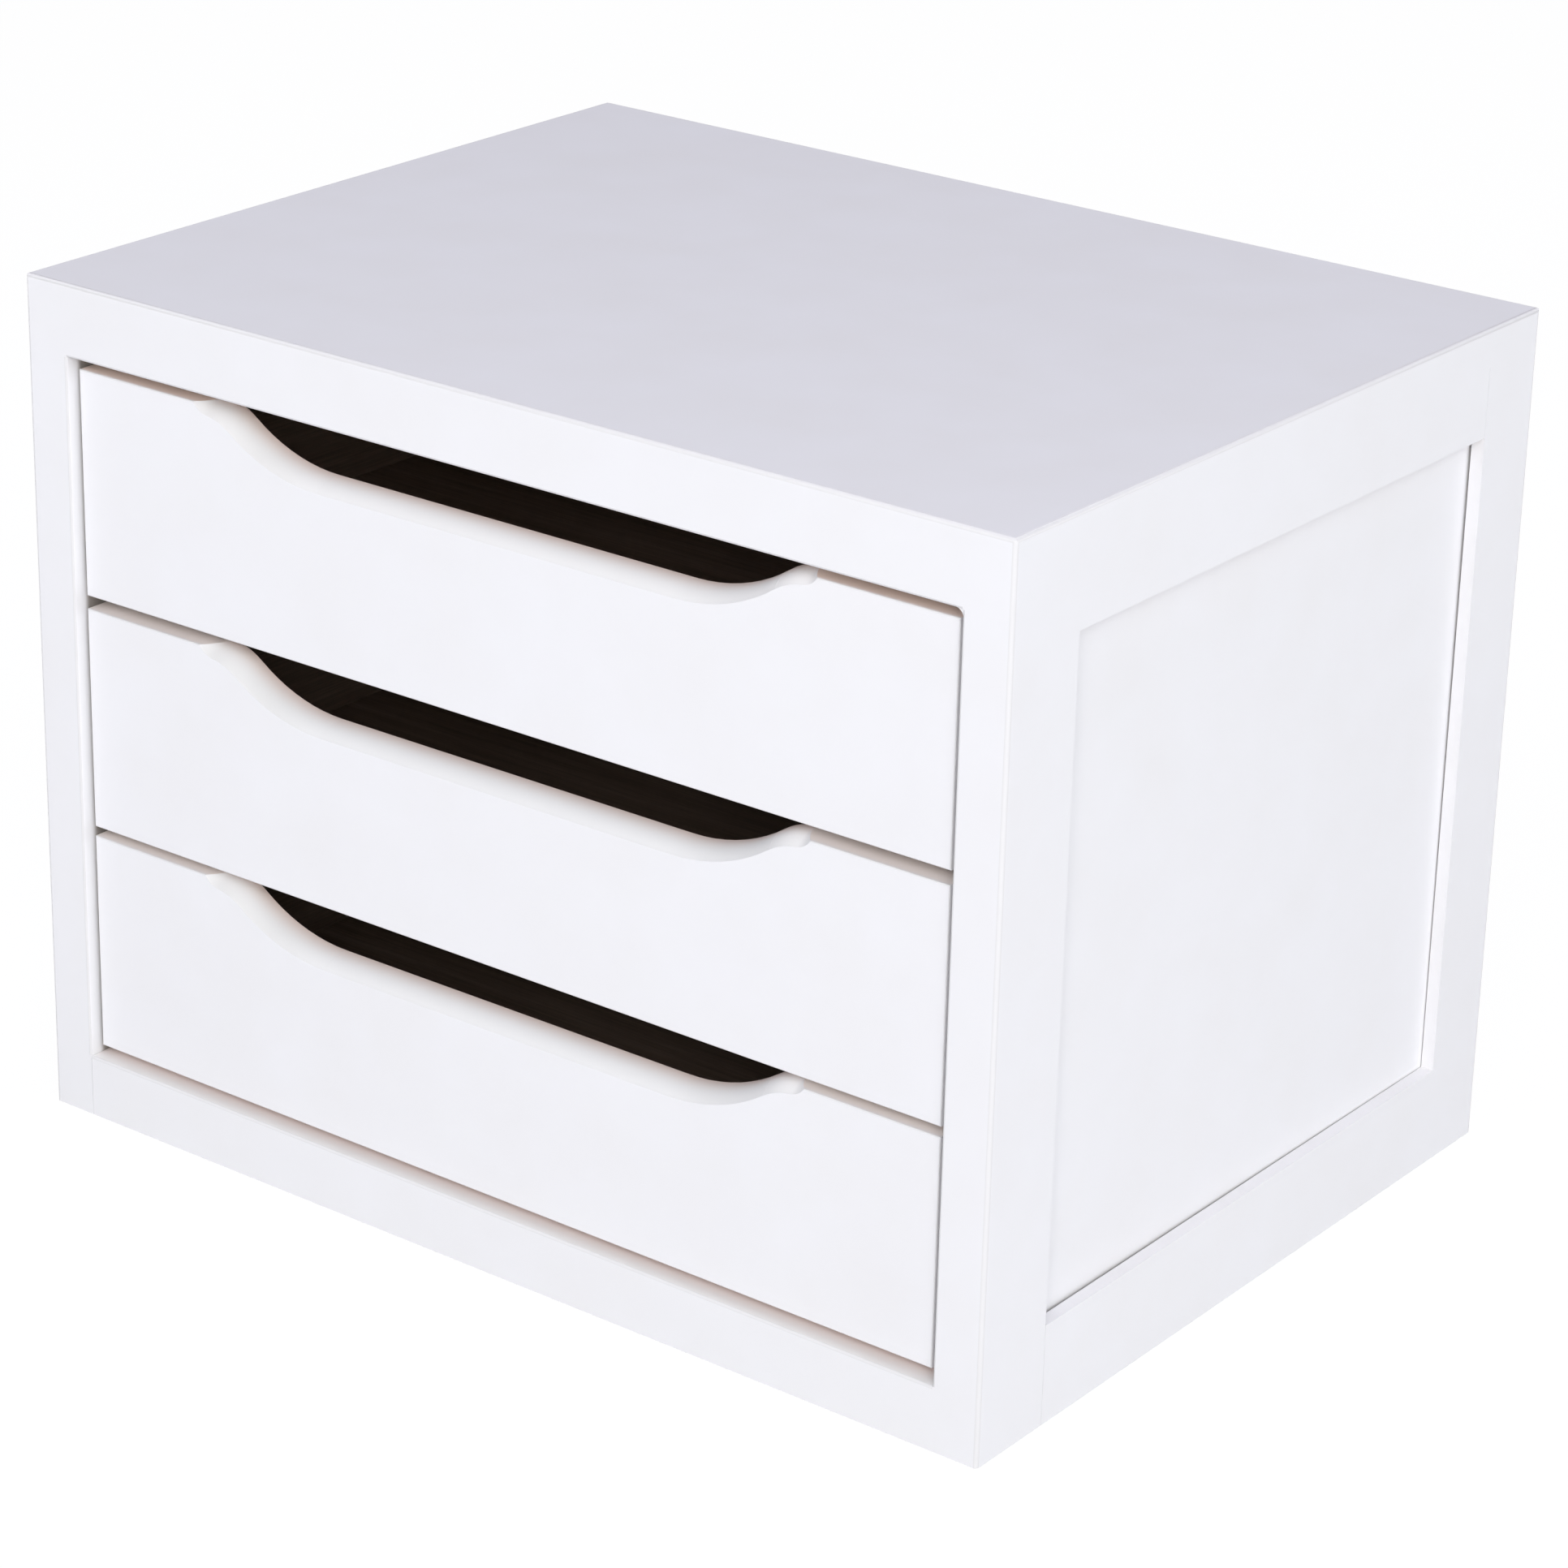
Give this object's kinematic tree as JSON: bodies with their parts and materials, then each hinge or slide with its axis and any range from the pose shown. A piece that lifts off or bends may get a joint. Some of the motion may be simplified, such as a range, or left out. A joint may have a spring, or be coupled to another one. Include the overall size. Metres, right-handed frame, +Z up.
{
  "type": "drawer unit",
  "caption": "Small table-top drawer unit in white painted wood, with framed side panels and full-width drawers that open by a finger cut-out in each front's top edge.",
  "frame": {"origin": "bottom centre of the whole unit's bounding box, on the plane that it stands on", "axes": "+X to the right seen from the front, +Y towards the back (the drawer fronts face -Y), +Z up"},
  "size_m": [0.36, 0.273, 0.2743],
  "materials": {
    "white_paint": "satin white paint over fine-grained wood",
    "bare_wood": "unpainted, lightly sanded",
    "steel": "zinc-plated"
  },
  "bodies": {
    "cabinet": {"top_board": "white_paint", "bottom_panel": "bare_wood", "back_panel": "bare_wood", "front_left_post": "white_paint", "front_right_post": "white_paint", "rear_left_post": "white_paint", "rear_right_post": "white_paint", "left_top_rail": "white_paint", "left_bottom_rail": "white_paint", "right_top_rail": "white_paint", "right_bottom_rail": "white_paint", "left_side_panel": "white_paint", "right_side_panel": "white_paint", "front_top_rail": "white_paint", "front_bottom_rail": "white_paint", "rear_top_rail": "white_paint", "rear_bottom_rail": "white_paint", "bottom_left_runner": "bare_wood", "bottom_right_runner": "bare_wood", "middle_left_runner": "bare_wood", "middle_right_runner": "bare_wood", "top_left_runner": "bare_wood", "top_right_runner": "bare_wood", "frame_dowels": "bare_wood", "runner_screws": "steel", "back_nails": "steel"},
    "drawer_bottom": {"bottom_drawer_front": "white_paint", "bottom_drawer_left_side": "bare_wood", "bottom_drawer_right_side": "bare_wood", "bottom_drawer_back": "bare_wood", "bottom_drawer_base": "bare_wood", "bottom_drawer_dowels": "bare_wood", "bottom_drawer_nails": "steel"},
    "drawer_middle": {"middle_drawer_front": "white_paint", "middle_drawer_left_side": "bare_wood", "middle_drawer_right_side": "bare_wood", "middle_drawer_back": "bare_wood", "middle_drawer_base": "bare_wood", "middle_drawer_dowels": "bare_wood", "middle_drawer_nails": "steel"},
    "drawer_top": {"top_drawer_front": "white_paint", "top_drawer_left_side": "bare_wood", "top_drawer_right_side": "bare_wood", "top_drawer_back": "bare_wood", "top_drawer_base": "bare_wood", "top_drawer_dowels": "bare_wood", "top_drawer_nails": "steel"}
  },
  "joints": [
    {"name": "slide_bottom", "type": "slide", "parent": "cabinet", "child": "drawer_bottom", "axis": [0, -1, 0], "range_m": [0, 0.17]},
    {"name": "slide_middle", "type": "slide", "parent": "cabinet", "child": "drawer_middle", "axis": [0, -1, 0], "range_m": [0, 0.17]},
    {"name": "slide_top", "type": "slide", "parent": "cabinet", "child": "drawer_top", "axis": [0, -1, 0], "range_m": [0, 0.17]}
  ]
}
